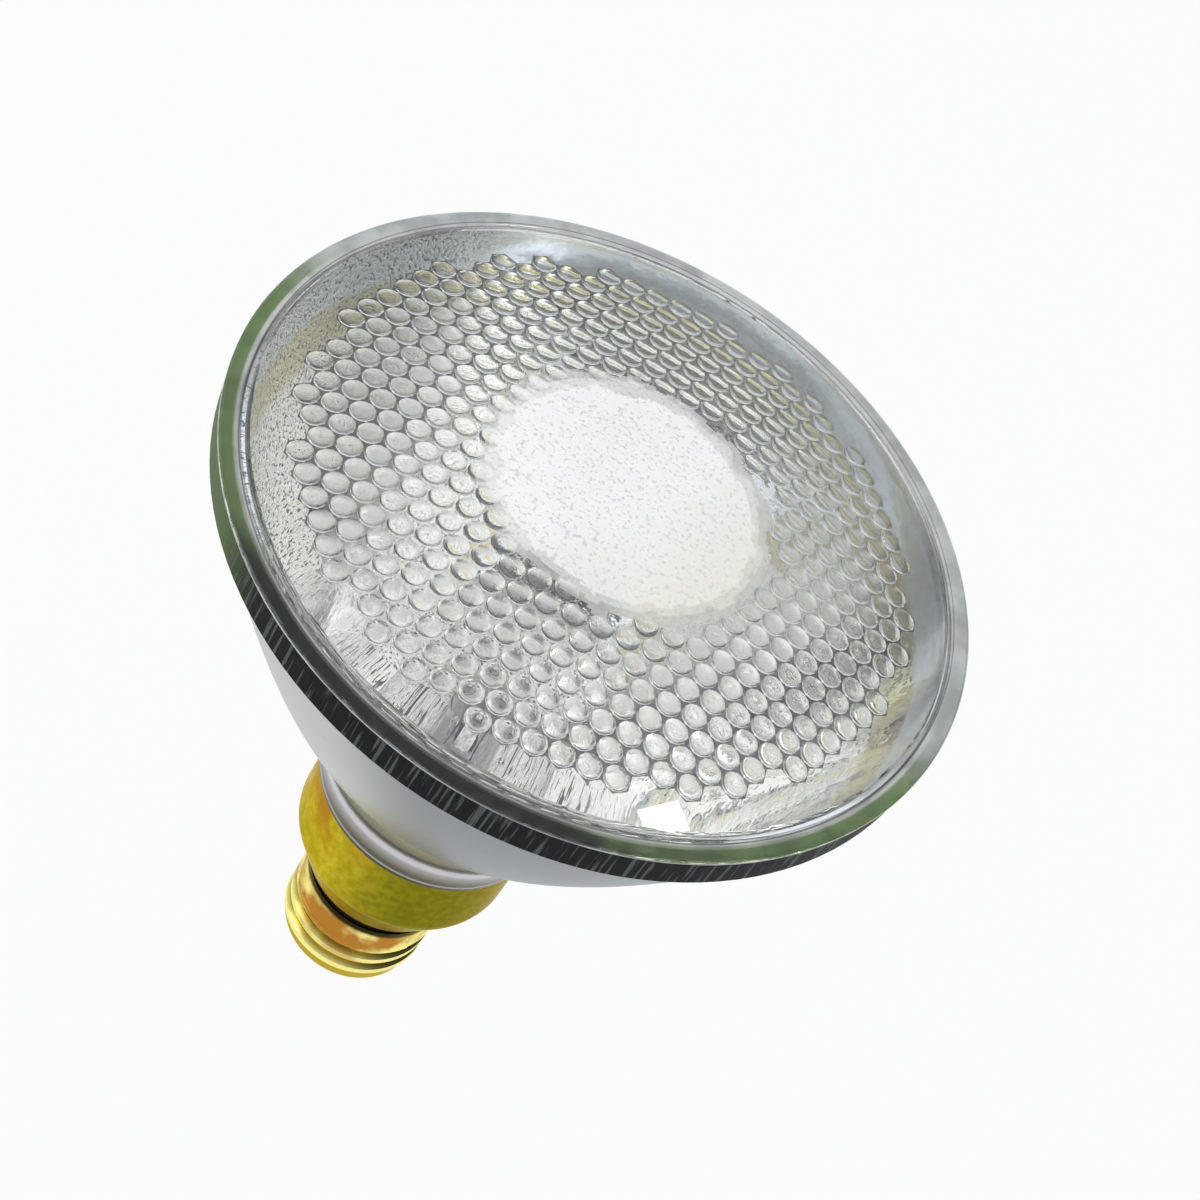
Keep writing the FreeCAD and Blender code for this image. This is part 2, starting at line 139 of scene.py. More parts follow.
def emboss(tree, shader, height, strength, depth):
    """Tilts the surface as a relief would, where the height runs from 0 to 1 over this depth in metres."""
    bump = add_node(tree, "ShaderNodeBump")
    bump.inputs["Strength"].default_value = strength
    bump.inputs["Distance"].default_value = depth
    tree.links.new(height, bump.inputs["Height"])
    tree.links.new(bump.outputs["Normal"], shader.inputs["Normal"])


def new_group(name, inputs, outputs):
    """A shader node group with named values in and out."""
    group = bpy.data.node_groups.new(name, "ShaderNodeTree")
    for label, value in inputs:
        socket = group.interface.new_socket(label, in_out="INPUT", socket_type="NodeSocketFloat")
        socket.default_value = value
    for label in outputs:
        group.interface.new_socket(label, in_out="OUTPUT", socket_type="NodeSocketFloat")
    return group, group.nodes.new("NodeGroupInput").outputs, group.nodes.new("NodeGroupOutput").inputs


def place_group(tree, group, **values):
    """Places a group in a material with its own values. Returns its outputs."""
    node = tree.nodes.new("ShaderNodeGroup")
    node.node_tree = group
    for label, value in values.items():
        node.inputs[label].default_value = value
    return node.outputs


def point_in_piece(tree):
    """The shaded point in the lamp's frame, as its X, Y and Z."""
    place = tree.nodes.new("ShaderNodeTexCoord")
    split = tree.nodes.new("ShaderNodeSeparateXYZ")
    tree.links.new(place.outputs["Object"], split.inputs[0])
    return split.outputs


def round_the_axis():
    """Where a point lies in a turned piece: its distance from the lamp's axis and its height, in metres."""
    group, _, outlet = new_group("round_the_axis", [], ["Radius", "Height"])
    x, y, z = point_in_piece(group)
    square_sum = math_node(group, "MULTIPLY_ADD", y, y, product(group, x, x))
    group.links.new(math_node(group, "SQRT", square_sum), outlet["Radius"])
    group.links.new(z, outlet["Height"])
    return group


def towards_a_side():
    """How far a point lies from the lamp's axis towards a side given as a direction east (X) and north (Y)."""
    group, inlet, outlet = new_group("towards_a_side", [("East", 1.0), ("North", 0.0)], ["Distance"])
    x, y, _ = point_in_piece(group)
    northward = product(group, y, inlet["North"])
    group.links.new(math_node(group, "MULTIPLY_ADD", x, inlet["East"], northward), outlet["Distance"])
    return group


def streaks():
    """Strokes that run along the axis, as a film or a drawing die leaves them."""
    group, inlet, outlet = new_group("streaks", [("Scale", 1000.0), ("Stretch", 0.08), ("Detail", 3.0)], ["Strokes"])
    x, y, z = point_in_piece(group)
    squeezed = group.nodes.new("ShaderNodeCombineXYZ")
    grain = group.nodes.new("ShaderNodeTexNoise")
    group.links.new(x, squeezed.inputs["X"])
    group.links.new(y, squeezed.inputs["Y"])
    group.links.new(product(group, z, inlet["Stretch"]), squeezed.inputs["Z"])
    group.links.new(squeezed.outputs[0], grain.inputs["Vector"])
    group.links.new(inlet["Scale"], grain.inputs["Scale"])
    group.links.new(inlet["Detail"], grain.inputs["Detail"])
    group.links.new(grain.outputs["Fac"], outlet["Strokes"])
    return group


def blotches():
    """Cloudy patches, such as tarnish, fingerprints and uneven film."""
    group, inlet, outlet = new_group("blotches", [("Scale", 100.0), ("Detail", 4.0)], ["Patches"])
    place = group.nodes.new("ShaderNodeTexCoord")
    grain = group.nodes.new("ShaderNodeTexNoise")
    group.links.new(place.outputs["Object"], grain.inputs["Vector"])
    group.links.new(inlet["Scale"], grain.inputs["Scale"])
    group.links.new(inlet["Detail"], grain.inputs["Detail"])
    group.links.new(grain.outputs["Fac"], outlet["Patches"])
    return group


axis_place = round_the_axis()
side_place = towards_a_side()
axis_streaks = streaks()
cloudy = blotches()


def ramp_towards(tree, side, start, end):
    """0 to 1 between two distances from the axis, measured towards a side of the lamp."""
    east, north = side
    return ramp_between(tree, place_group(tree, side_place, East=east, North=north)["Distance"], start, end)


def dress(names, material):
    """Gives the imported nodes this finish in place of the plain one."""
    for name in names:
        for slot in nodes[name].material_slots:
            slot.material = material


silvered, tree, shader = new_finish("silvered_glass", (0.9, 0.91, 0.92), roughness=0.03, metallic=1.0,
                                    Specular_IOR_Level=0.12)
radius, height = place_group(tree, axis_place)

# The middle of the wall parts the mirror side from the glass side: a parabola above the neck's radius.
mid_focal = 0.01253
mid_vertex = 0.05697
mid_neck = 0.0175
bowl_lift = product(tree, math_node(tree, "SUBTRACT", height, mid_vertex), 4 * mid_focal)
past_bowl = math_node(tree, "GREATER_THAN", product(tree, radius, radius), bowl_lift)
outside = product(tree, past_bowl, math_node(tree, "GREATER_THAN", radius, mid_neck))

band_height = 0.1214
film_feather = 0.0028
edge_drop = 1.1 * film_feather
ragged = place_group(tree, axis_streaks, Scale=900.0, Stretch=0.2)["Strokes"]
film_edge = math_node(tree, "MULTIPLY_ADD", ragged, film_feather, band_height - edge_drop)
bare = ramp_between(tree, math_node(tree, "SUBTRACT", height, film_edge), -0.0006, 0.0008)
bare_band = product(tree, outside, bare)

# Painted shade: the outside film turns darker towards the south-east, the side away from the light.
shaded_side = (0.92, -0.40)
painted_side_shade = ramp_towards(tree, shaded_side, 0.004, 0.024)
satin_film = blend_colors(tree, painted_side_shade, (0.44, 0.47, 0.455), (0.16, 0.185, 0.195))
clouded = ramp_between(tree, place_group(tree, cloudy, Scale=60.0)["Patches"], 0.52, 1.10)
cloudy_film = blend_colors(tree, clouded, satin_film, (0.24, 0.28, 0.29))
# Painted highlight, reflection and shade on the neck: a white-violet highlight band, olive reflections of the skirt,
# and dark shade lines at the crease and at the skirt's edge.
neck_light_and_shade_bands = bands(tree, height, 0.050, 0.070, [
    (0.0514, (0.03, 0.02, 0.012)), (0.0519, (0.42, 0.42, 0.36)), (0.0524, (0.07, 0.07, 0.04)),
    (0.0532, (0.07, 0.065, 0.04)), (0.0546, (0.20, 0.19, 0.13)), (0.0564, (0.34, 0.34, 0.34)),
    (0.0575, (0.60, 0.59, 0.62)), (0.0587, (0.54, 0.53, 0.56)), (0.0594, (0.16, 0.15, 0.12)),
    (0.0602, (0.02, 0.018, 0.01)), (0.0610, (0.17, 0.16, 0.09)), (0.0650, (0.32, 0.31, 0.18))])
above_neck = ramp_between(tree, height, 0.0660, 0.0750)
film_outside = blend_colors(tree, above_neck, neck_light_and_shade_bands, cloudy_film)

west = (-0.97, -0.25)
crinkle = place_group(tree, cloudy, Scale=2000.0, Detail=3.0)["Patches"]
low_in_bowl = ramp_between(tree, height, 0.0760, 0.0660)
crinkled = math_node(tree, "MAXIMUM", low_in_bowl, ramp_towards(tree, west, 0.024, 0.040))
# Dark specks painted on the crinkled mirror: painted reflections of dark things, seen through the lens.
painted_dark_specks = product(tree, crinkled, ramp_between(tree, crinkle, 0.56, 0.62))
baked = ramp_between(tree, height, 0.1125, 0.1150)
thin_film = ramp_between(tree, height, 0.1188, 0.1200)
film_inside = blend_colors(tree, baked, (0.975, 0.98, 0.965), (0.76, 0.73, 0.52))
film_inside = blend_colors(tree, thin_film, film_inside, (0.86, 0.91, 0.95))
film_inside = blend_colors(tree, painted_dark_specks, film_inside, (0.10, 0.115, 0.135))
film = blend_colors(tree, outside, film_inside, film_outside)

# Painted light: the bare band is green on the west side, the green of light passing through the thick glass there.
green_glow_side = (-0.94, -0.34)
strokes = place_group(tree, axis_streaks, Scale=1300.0, Stretch=0.05)["Strokes"]
band = blend_colors(tree, ramp_between(tree, strokes, 0.52, 0.62), (0.004, 0.006, 0.007), (0.075, 0.09, 0.085))
band = blend_colors(tree, ramp_towards(tree, green_glow_side, 0.048, 0.057), band, (0.10, 0.15, 0.06))
seat = ramp_between(tree, height, 0.1268, 0.1270)
band = blend_colors(tree, seat, band, (0.60, 0.62, 0.61))
paint(tree, shader, bare_band, film, band)

# Painted shade: the film is also less metallic on the south-east side.
shade_metal_share = 0.28
shade_metal_drop = product(tree, outside, painted_side_shade, shade_metal_share)
bare_side = product(tree, bare_band, opposite(tree, seat))
without_metal = math_node(tree, "MAXIMUM", bare_side, shade_metal_drop)
tree.links.new(opposite(tree, without_metal), shader.inputs["Metallic"])

mirror_roughness = 0.02
satin_roughness = 0.28
thin_film_roughness = 0.12
bare_roughness = 0.25
satin = math_node(tree, "MAXIMUM", product(tree, outside, satin_roughness),
                  product(tree, thin_film, thin_film_roughness))
satin = math_node(tree, "MULTIPLY_ADD", bare_band, bare_roughness, satin)
tree.links.new(math_node(tree, "ADD", satin, mirror_roughness), shader.inputs["Roughness"])

crinkle_depth = 2.5
pressing = place_group(tree, cloudy, Scale=420.0, Detail=2.0)["Patches"]
relief = math_node(tree, "ADD", pressing, product(tree, crinkle, crinkled, crinkle_depth))
emboss(tree, shader, product(tree, relief, opposite(tree, outside)), strength=0.35, depth=0.00012)
dress(["reflector"], silvered)


# Ferrules and support leads: nickel-iron cups sealed into the reflector's floor, with a stiff drawn lead brazed in
# each. The capsule's pins are welded to the bent ends of the leads.
nickel, tree, shader = new_finish("nickel_iron", (0.52, 0.50, 0.46), roughness=0.32, metallic=1.0)
drawn = place_group(tree, axis_streaks, Scale=2500.0, Stretch=0.1)["Strokes"]
paint(tree, shader, ramp_between(tree, drawn, 0.3, 0.7), (0.42, 0.40, 0.37), (0.58, 0.56, 0.52))
dress(["ferrule_left", "ferrule_right", "support_lead_left", "support_lead_right"], nickel)


# Capsule: a quartz tube with its exhaust tip, pressed flat at the foot over two molybdenum foils, each welded to a pin
# and to a leg of the tungsten coil.
quartz, tree, shader = new_finish("quartz", (0.95, 0.97, 0.98), roughness=0.0, Transmission_Weight=1.0, IOR=1.46)
emboss(tree, shader, place_group(tree, cloudy, Scale=350.0)["Patches"], strength=0.15, depth=0.0003)
dress(["capsule_envelope"], quartz)

tungsten, tree, shader = new_finish("tungsten", (0.20, 0.20, 0.21), roughness=0.35, metallic=1.0)
grain = place_group(tree, cloudy, Scale=4000.0)["Patches"]
paint(tree, shader, grain, (0.13, 0.13, 0.14), (0.28, 0.28, 0.29))
dress(["filament"], tungsten)

molybdenum, tree, shader = new_finish("molybdenum", (0.40, 0.40, 0.42), roughness=0.4, metallic=1.0)
grain = place_group(tree, axis_streaks, Scale=3000.0)["Strokes"]
paint(tree, shader, grain, (0.30, 0.30, 0.32), (0.50, 0.50, 0.52))
dress(["foil_left", "foil_right", "capsule_pin_left", "capsule_pin_right"], molybdenum)


# Lens: pressed borosilicate glass, a shallow dome outside. The plunger leaves domed lenticules in a hexagonal lattice
# on the inner face, with sharp grooves between them, a fine stipple in the middle and a plain land out to the rim. The
# middle of the dome is frosted, and clears outwards in three steps with ragged edges.
weld_distance = 0.00001


def select_nothing():
    """Nothing selected and nothing in edit mode."""
    if bpy.context.object and bpy.context.object.mode != "OBJECT":
        bpy.ops.object.mode_set(mode="OBJECT")
    bpy.ops.object.select_all(action="DESELECT")


def new_cell(name, sides, radius, turn, fill, finishes):
    """One flat cell on the axis that faces down. It is left in edit mode, with all of it selected."""
    select_nothing()
    bpy.ops.mesh.primitive_circle_add(vertices=sides, radius=radius, fill_type=fill, rotation=(0, 0, turn))
    piece = bpy.context.object
    piece.name = name
    for finish in finishes:
        piece.data.materials.append(finish)
    bpy.ops.object.transform_apply(location=False, rotation=True, scale=False)
    bpy.ops.object.mode_set(mode="EDIT")
    bpy.ops.mesh.select_mode(type="EDGE")
    bpy.ops.mesh.select_all(action="SELECT")
    bpy.ops.mesh.normals_make_consistent(inside=False)
    if bmesh.from_edit_mesh(piece.data).faces[:][0].normal.z > 0:
        bpy.ops.mesh.flip_normals()
    return piece


def repeat_cell(piece, pitch, turn, radius):
    """Lays copies of one cell in a hexagonal lattice, centred on the axis, until they cover this radius."""
    skew_reach = 1.41
    reach = int(skew_reach * radius / pitch)
    for angle in (turn, turn + math.pi / 3):
        step = Vector((pitch * math.cos(angle), pitch * math.sin(angle), 0))
        piece.location -= step * reach
        array = piece.modifiers.new("lattice", "ARRAY")
        array.use_relative_offset = False
        array.use_constant_offset = True
        array.constant_offset_displace = step
        array.count = 2 * reach + 1
        array.use_merge_vertices = False
        bpy.ops.object.modifier_apply(modifier=array.name)
    bpy.ops.object.transform_apply(location=True, rotation=True, scale=True)


def keep_cells(piece, faces_a_cell, wanted):
    """Deletes the whole cells whose middle lies where none is wanted, then welds what is left."""
    moments, areas = {}, {}
    for face in piece.data.polygons:
        cell = face.index // faces_a_cell
        moments[cell] = moments.get(cell, Vector((0, 0, 0))) + face.center * face.area
        areas[cell] = areas.get(cell, 0) + face.area
    middles = {cell: (moments[cell] / areas[cell]).xy for cell in areas}
    bpy.ops.object.mode_set(mode="EDIT")
    bpy.ops.mesh.select_mode(type="FACE")
    form = bmesh.from_edit_mesh(piece.data)
    for face in form.faces:
        face.select_set(not wanted(middles[face.index // faces_a_cell]))
    form.select_flush_mode()
    bmesh.update_edit_mesh(piece.data)
    bpy.ops.mesh.delete(type="FACE")
    bpy.ops.mesh.select_all(action="SELECT")
    bpy.ops.mesh.remove_doubles(threshold=weld_distance)
    bpy.ops.object.mode_set(mode="OBJECT")


lens_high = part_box("lens")[1]
rim_radius = lens_high.x
ring_radius = 0.0579
ring_height = 0.1287
lens_wall = 0.0032
dome_rise = lens_high.z - ring_height
dome_radius = (ring_radius ** 2 + dome_rise ** 2) / (2 * dome_rise)
dome_centre = lens_high.z - dome_radius
inner_radius = dome_radius - lens_wall

pressed, tree, shader = new_finish("pressed_glass", (0.97, 0.99, 0.97), roughness=0.0, Transmission_Weight=1.0,
                                   IOR=1.47)
near_side = (-0.139, -0.990)
radius = place_group(tree, axis_place)["Radius"]
rim_edge = ramp_between(tree, radius, 0.0581, 0.0585)
# The rim is painted: green on the near half for light seen through the thick glass, and nearly black at the nearest
# edge, painted shade where the glass looks through to the dark seat below.
green_lit_half = ramp_towards(tree, near_side, -0.008, 0.010)
painted_near_shade = ramp_towards(tree, near_side, 0.046, 0.054)
painted_rim_tint = blend_colors(tree, green_lit_half, (0.95, 0.97, 0.97), (0.46, 0.59, 0.33))
painted_rim_tint = blend_colors(tree, painted_near_shade, painted_rim_tint, (0.03, 0.035, 0.035))
clear, dim, dark = (1.0, 1.0, 1.0), (0.45, 0.48, 0.46), (0.10, 0.12, 0.10)
# Dark and dim lines painted into the ring's glass: painted dark reflections between its thin bright lines.
ring_reflection_lines = bands(tree, radius, 0.056, 0.059, [
    (0.0561, clear), (0.0564, dim), (0.0567, clear), (0.0573, clear), (0.0575, dark), (0.0577, clear), (0.0580, clear)])
paint(tree, shader, rim_edge, ring_reflection_lines, painted_rim_tint)

grooved, tree, shader = new_finish("pressed_glass_groove", (0.5, 0.53, 0.52), roughness=0.0, Transmission_Weight=1.0,
                                   IOR=1.47)
west = (-0.98, 0.17)
south_east = (0.85, -0.53)
# Painted shade: the grooves turn nearly black on the west and south-east sides, for the dark outlines round the
# lenticules there.
painted_groove_shade = math_node(tree, "MAXIMUM", ramp_towards(tree, west, 0.014, 0.030),
                  ramp_towards(tree, south_east, 0.024, 0.034))
paint(tree, shader, painted_groove_shade, (0.74, 0.76, 0.73), (0.03, 0.035, 0.04))

cell_pitch = 0.0042
cell_turn = math.radians(13.7)
lenticule_radius = 0.00204
lenticule_sides = 12
lenticule_steps = [(0.90, 0.00019), (0.72, 0.00036), (0.45, 0.00050)]
lenticule_rise = 0.00055
plain_middle = Vector((0.0021, 0.0015))
plain_radius = 0.0234
pattern_outer = 0.0494

lenticules = new_cell("lens_glass", lenticule_sides, lenticule_radius, cell_turn, "NGON", (pressed, grooved))
share_now, rise_now = 1.0, 0.0
for share, rise in lenticule_steps:
    bpy.ops.mesh.select_mode(type="FACE")
    step_in = lenticule_radius * (share_now - share) * math.cos(math.pi / lenticule_sides)
    bpy.ops.mesh.inset(thickness=step_in, depth=rise - rise_now)
    share_now, rise_now = share, rise
bpy.ops.mesh.poke(offset=rise_now - lenticule_rise)
bpy.ops.mesh.select_mode(type="EDGE")
bpy.ops.mesh.select_all(action="DESELECT")
bpy.ops.mesh.select_non_manifold()
bpy.ops.mesh.extrude_edges_move(TRANSFORM_OT_translate={"value": (0, 0, 0)})
hexagon_side = cell_pitch / 2 / lenticule_radius
bpy.ops.transform.resize(value=(hexagon_side, hexagon_side, 1), center_override=(0, 0, 0))
twelfth_turn = math.pi / 6
past_the_circle = lenticule_radius * 1.02
form = bmesh.from_edit_mesh(lenticules.data)
for vert in form.verts:
    angle = math.atan2(vert.co.y, vert.co.x) - cell_turn
    at_corner = round(angle / twelfth_turn) % 2 == 1
    vert.select_set(vert.co.xy.length > past_the_circle and at_corner)
form.select_flush_mode()
bmesh.update_edit_mesh(lenticules.data)
bpy.ops.mesh.select_mode(type="VERT")
corner_reach = 2 / math.sqrt(3)
bpy.ops.transform.resize(value=(corner_reach, corner_reach, 1), center_override=(0, 0, 0))
bpy.ops.object.mode_set(mode="OBJECT")
groove_reach = 0.97 * lenticule_radius
groove_slot = 1
for face in lenticules.data.polygons:
    if min(lenticules.data.vertices[index].co.xy.length for index in face.vertices) > groove_reach:
        face.material_index = groove_slot
faces_a_cell = len(lenticules.data.polygons)
repeat_cell(lenticules, cell_pitch, cell_turn, pattern_outer)
keep_cells(lenticules, faces_a_cell,
           lambda middle: (middle - plain_middle).length >= plain_radius and middle.length <= pattern_outer)

stipple = new_cell("stipple", 6, cell_pitch / math.sqrt(3), cell_turn, "TRIFAN", (pressed,))
bpy.ops.mesh.subdivide(number_cuts=1)
bpy.ops.object.mode_set(mode="OBJECT")
faces_a_cell = len(stipple.data.polygons)
repeat_cell(stipple, cell_pitch, cell_turn, plain_radius + 2 * cell_pitch)
keep_cells(stipple, faces_a_cell, lambda middle: (middle - plain_middle).length < plain_radius)

land_radius = 0.0549
land_sides = 192
select_nothing()
bpy.ops.mesh.primitive_circle_add(vertices=land_sides, radius=land_radius, fill_type="NOTHING")
stipple.select_set(True)
lenticules.select_set(True)
bpy.context.view_layer.objects.active = lenticules
bpy.ops.object.join()
lens = bpy.context.object

bpy.ops.object.mode_set(mode="EDIT")
bpy.ops.mesh.select_mode(type="EDGE")
bpy.ops.mesh.select_all(action="SELECT")
bpy.ops.mesh.remove_doubles(threshold=weld_distance)
bpy.ops.mesh.select_all(action="DESELECT")
past_the_middle = 0.035
form = bmesh.from_edit_mesh(lens.data)
for edge in form.edges:
    distance = ((edge.verts[0].co + edge.verts[1].co) / 2).xy.length
    edge.select_set(len(edge.link_faces) < 2 and distance > past_the_middle)
bmesh.update_edit_mesh(lens.data)
bpy.ops.mesh.fill(use_beauty=True)

stipple_rise = 0.00010
bpy.ops.mesh.select_all(action="DESELECT")
bpy.ops.mesh.select_mode(type="VERT")
form = bmesh.from_edit_mesh(lens.data)
for vert in form.verts:
    vert.select_set((vert.co.xy - plain_middle).length < plain_radius - cell_pitch / 2)
bmesh.update_edit_mesh(lens.data)
bpy.ops.transform.vertex_random(offset=stipple_rise, uniform=1.0, seed=4)
bpy.ops.object.mode_set(mode="OBJECT")
for vert in lens.data.vertices:
    vert.co.z += dome_centre + math.sqrt(inner_radius ** 2 - vert.co.xy.length_squared)

register_radius = 0.0563
seat_height = 0.12762
land_height = dome_centre + math.sqrt(inner_radius ** 2 - land_radius ** 2)
profile = [(register_radius, land_height), (register_radius, seat_height), (rim_radius, seat_height),
           (rim_radius, 0.12793), (0.0603, 0.12812), (0.0596, 0.12837), (0.0582, 0.12862), (ring_radius, 0.12872),
           (0.0576, 0.12877), (0.0572, 0.12871), (0.0568, 0.12848), (0.0565, 0.12848)]
dome_edge = 0.0562
dome_rings = 88
crease_angle = math.radians(22)
for ring in range(dome_rings):
    reach = dome_edge * (1 - ring / dome_rings)
    profile.append((reach, dome_centre + math.sqrt(dome_radius ** 2 - reach ** 2)))
bpy.ops.object.mode_set(mode="EDIT")
form = bmesh.from_edit_mesh(lens.data)
for edge in form.edges:
    edge.select_set(len(edge.link_faces) == 1)
bmesh.update_edit_mesh(lens.data)
reach_now, level_now = land_radius, land_height
for reach, level in profile:
    bpy.ops.mesh.extrude_edges_move(TRANSFORM_OT_translate={"value": (0, 0, level - level_now)})
    factor = reach / reach_now
    bpy.ops.transform.resize(value=(factor, factor, 1), center_override=(0, 0, level))
    reach_now, level_now = reach, level
bpy.ops.mesh.edge_face_add()
bpy.ops.mesh.poke(offset=0.0)
bpy.ops.mesh.select_mode(type="VERT")
form = bmesh.from_edit_mesh(lens.data)
top_vert = max(form.verts, key=lambda vert: vert.co.z - vert.co.xy.length)
top_vert.co.z = lens_high.z
bmesh.update_edit_mesh(lens.data)
bpy.ops.mesh.select_all(action="SELECT")
bpy.ops.mesh.normals_make_consistent(inside=False)
bpy.ops.object.mode_set(mode="OBJECT")
bpy.ops.object.select_all(action="DESELECT")
lens.select_set(True)
bpy.ops.object.shade_smooth_by_angle(angle=crease_angle)

frost_zones = (("frosted_glass", 0.0204, 0.12),
               ("frosted_glass_thin", 0.0221, 0.42),
               ("frosted_glass_edge", 0.0237, 0.72))
frosted_middle = Vector((0.0006, -0.0008))
ragged_depth = 0.0018
ragged_grain = 260
beige_side = (0.93, -0.36)
first_frost = len(lens.data.materials)
for name, _, clearness in frost_zones:
    frosted, tree, shader = new_finish(name, (0.98, 0.98, 0.97), roughness=0.30, Transmission_Weight=clearness,
                                       IOR=1.47)
    speck = place_group(tree, cloudy, Scale=1500.0, Detail=2.0)["Patches"]
    # The frost turns beige towards the south-east.
    beige_share = ramp_towards(tree, beige_side, 0.000, 0.020)
    milk = blend_colors(tree, beige_share, (1.0, 1.0, 1.0), (0.90, 0.89, 0.82))
    paint(tree, shader, ramp_between(tree, speck, 0.34, 0.46), (0.74, 0.75, 0.74), milk)
    lens.data.materials.append(frosted)
mid_wall = dome_radius - lens_wall / 2
for face in lens.data.polygons:
    if (face.center - Vector((0, 0, dome_centre))).length < mid_wall:
        continue
    reach = (face.center.xy - frosted_middle).length + ragged_depth * noise.noise(face.center * ragged_grain)
    for zone, (_, limit, _) in enumerate(frost_zones):
        if reach < limit:
            face.material_index = first_frost + zone
            break
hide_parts("lens")
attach(lens, "root")


# Rim seal: the bead of grey sealant squeezed out between the two glass rims when the lens is set on the reflector. It
# cures hard, with a smooth skin that shines like dull metal.
sealant, tree, shader = new_finish("rim_sealant", (0.30, 0.31, 0.35), roughness=0.28, metallic=0.7, Coat_Weight=0.3)
smear = place_group(tree, cloudy, Scale=160.0)["Patches"]
paint(tree, shader, ramp_between(tree, smear, 0.35, 0.65), (0.42, 0.43, 0.43), (0.66, 0.67, 0.67))
dress(["rim_seal"], sealant)


# Contact end of the base: dark glass fused into the end of the screw shell, with a stamped brass eyelet in its middle.
# A drop of solder fixes the lead in the eyelet, and another the lead inside the shell.
dark_glass, tree, shader = new_finish("base_glass", (0.02, 0.02, 0.03), roughness=0.12, Coat_Weight=0.5)
flow = place_group(tree, cloudy, Scale=300.0)["Patches"]
paint(tree, shader, flow, (0.008, 0.009, 0.014), (0.03, 0.03, 0.045))
dress(["base_insulator"], dark_glass)

solder, tree, shader = new_finish("solder", (0.55, 0.55, 0.54), roughness=0.35, metallic=1.0)
skin = place_group(tree, cloudy, Scale=900.0)["Patches"]
paint(tree, shader, skin, (0.36, 0.36, 0.36), (0.68, 0.68, 0.66))
dress(["contact_solder", "shell_solder"], solder)


# Leads: bare copper wire, bent to shape. They run from the ferrules under the reflector, one to the centre contact and
# one to the inside of the screw shell.
copper, tree, shader = new_finish("copper", (0.72, 0.36, 0.20), roughness=0.3, metallic=1.0)
dull = place_group(tree, cloudy, Scale=700.0)["Patches"]
paint(tree, shader, dull, (0.45, 0.20, 0.10), (0.80, 0.44, 0.27))
dress(["contact_lead", "shell_lead"], copper)


# Screw shell: thin brass, rolled to the thread. The crests are rubbed bright, the grooves keep their tarnish, and the
# top edge under the dark ring is painted nearly black, the shade under the skirt. The contact eyelet is stamped from
# the same brass.
shell_brass, tree, shader = new_finish("shell_brass", (0.80, 0.55, 0.15), roughness=0.24, metallic=1.0,
                                       Specular_Tint=(1.0, 0.95, 0.6, 1.0))
radius, height = place_group(tree, axis_place)
tarnish = place_group(tree, cloudy, Scale=110.0)["Patches"]
crest = ramp_between(tree, radius, 0.0123, 0.0131)
worn = blend_colors(tree, crest, (0.50, 0.38, 0.04), (1.0, 0.93, 0.34))
orange = blend_colors(tree, crest, (0.22, 0.09, 0.012), (0.46, 0.20, 0.03))
burnt = product(tree, ramp_between(tree, tarnish, 0.40, 0.56), ramp_between(tree, height, 0.0080, 0.0170))
# Painted shade: the top of the shell, inside the recess under the skirt, is nearly black.
painted_shade_top = ramp_between(tree, height, 0.0210, 0.0220)
paint(tree, shader, painted_shade_top, blend_colors(tree, burnt, worn, orange), (0.012, 0.008, 0.005))
dress(["screw_shell", "contact_eyelet"], shell_brass)


# Insulating ring: a moulded spool that sits between the screw shell and the skirt. It holds the two together and
# keeps the current off the skirt. Its near-black colour is painted shade, the dark of the recess between the two.
# Painted shade: near black, for the recess between the skirt and the shell.
moulded, tree, shader = new_finish("moulded_ring", (0.012, 0.009, 0.007), roughness=0.5)
mould_grain = place_group(tree, cloudy, Scale=1500.0)["Patches"]
paint(tree, shader, mould_grain, (0.006, 0.004, 0.003), (0.02, 0.016, 0.012))
dress(["skirt_insulator"], moulded)


# Skirt: a drawn brass cup, lacquered, and cemented to the glass heel. The lacquer is mottled, with a brown heat stain
# near the top edge. The south-east side is painted a darker olive, painted shade of the side away from the light.
skirt_brass, tree, shader = new_finish("skirt_brass", (0.58, 0.46, 0.05), roughness=0.26, metallic=0.8,
                                       Specular_IOR_Level=0.2, Specular_Tint=(0.85, 0.72, 0.25, 1.0))
lit_side = (-0.80, -0.60)
skirt_shade_side = (0.85, -0.53)
height = place_group(tree, axis_place)["Height"]
stain = place_group(tree, cloudy, Scale=120.0)["Patches"]
mottle = place_group(tree, cloudy, Scale=650.0)["Patches"]
drawing = place_group(tree, axis_streaks, Scale=900.0, Stretch=0.3)["Strokes"]
mottled = ramp_between(tree, mottle, 0.30, 0.70)
lacquer = blend_colors(tree, drawing, (0.42, 0.34, 0.020), (0.76, 0.63, 0.050))
lacquer = blend_colors(tree, mottled, (0.44, 0.36, 0.012), lacquer)
# Painted shade: darker olive lacquer on the south-east side.
shaded_lacquer = blend_colors(tree, mottled, (0.17, 0.155, 0.008), (0.24, 0.22, 0.012))
lacquer = blend_colors(tree, ramp_towards(tree, skirt_shade_side, 0.002, 0.016), lacquer, shaded_lacquer)
stained = product(tree, ramp_between(tree, height, 0.0400, 0.0480), ramp_towards(tree, lit_side, 0.012, 0.0185),
                  ramp_between(tree, stain, 0.40, 0.58))
paint(tree, shader, stained, lacquer, (0.46, 0.22, 0.02))
emboss(tree, shader, mottle, strength=0.3, depth=0.0001)
dress(["skirt"], skirt_brass)


